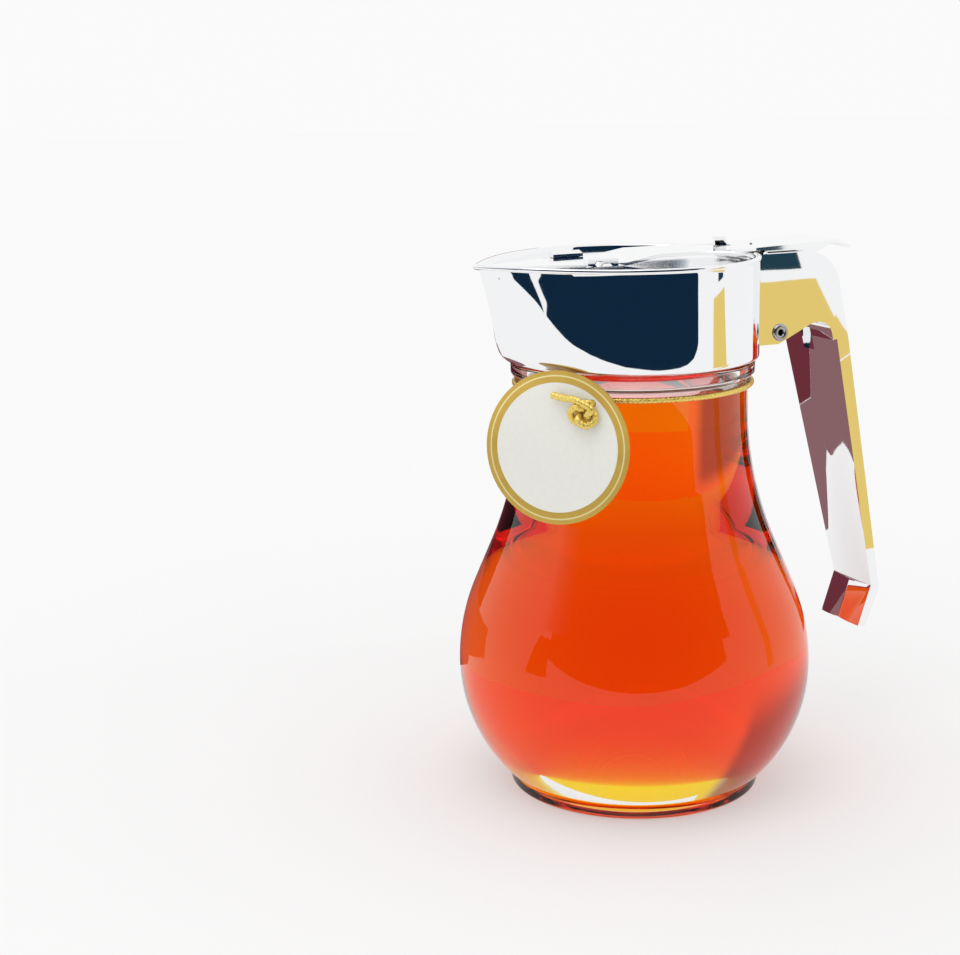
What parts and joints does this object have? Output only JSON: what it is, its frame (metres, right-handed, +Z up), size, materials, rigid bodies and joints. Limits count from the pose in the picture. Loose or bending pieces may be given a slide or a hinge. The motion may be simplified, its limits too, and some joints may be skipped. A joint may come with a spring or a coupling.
{
  "type": "honey dispenser",
  "caption": "Bulbous glass jar of honey with a chromed screw-on pouring head, a long handle and a sprung slide that opens the port at the spout.",
  "frame": {"origin": "centre of the foot, on the surface the jar stands on", "axes": "+Z up along the jar's axis, +X towards the handle, the spout points to -X, the X-Z plane is the plane of symmetry"},
  "size_m": [0.116, 0.0906, 0.1405],
  "materials": {
    "clear_glass": "clear, polished",
    "honey": "clear amber",
    "chrome": "mirror polished",
    "polished_steel": "polished",
    "sheet_steel": "bright",
    "zinc": "plated",
    "spring_wire": "drawn wire",
    "collar": "moulded",
    "seal": "matt",
    "gold_cord": "metallic twisted yarn",
    "tag_card": "coated, gold printed border"
  },
  "bodies": {
    "jar": {"glass_jar": "clear_glass", "honey_fill": "honey", "neck_cord": "gold_cord"},
    "seal": {"neck_seal": "seal"},
    "head": {"threaded_collar": "collar", "pour_head": "chrome", "deck_plate": "sheet_steel", "left_guide": "sheet_steel", "right_guide": "sheet_steel", "guide_rivets": "sheet_steel", "handle": "chrome", "handle_screws": "zinc", "spring_rivet": "zinc", "rivet_spacers": "collar", "return_spring": "spring_wire"},
    "gate": {"slide_plate": "polished_steel", "spring_bracket": "sheet_steel", "bracket_rivet": "sheet_steel"},
    "tag": {"tag_disc": "tag_card", "tag_cord": "gold_cord"}
  },
  "joints": [
    {"name": "head_lift", "type": "slide", "parent": "jar", "child": "seal", "axis": [0, 0, 1], "range_m": [0, 0.003]},
    {"name": "head_twist", "type": "hinge", "parent": "seal", "child": "head", "pos_m": [0, 0, 0.12], "axis": [0, 0, 1], "range_deg": [0, 90]},
    {"name": "gate_slide", "type": "slide", "parent": "head", "child": "gate", "axis": [1, 0, 0], "range_m": [0, 0.01], "stiffness_N_per_m": 250, "springref_m": -0.01, "deforming": ["return_spring"]},
    {"name": "tag_swing", "type": "hinge", "parent": "jar", "child": "tag", "pos_m": [-0.02419, -0.0248, 0.10516], "axis": [-0.7506, -0.6525, 0.1045], "range_deg": [-10, 40]}
  ],
  "couplings": [
    {"joint": "head_lift", "follows": "head_twist", "m_per_rad": 0.0019099}
  ]
}
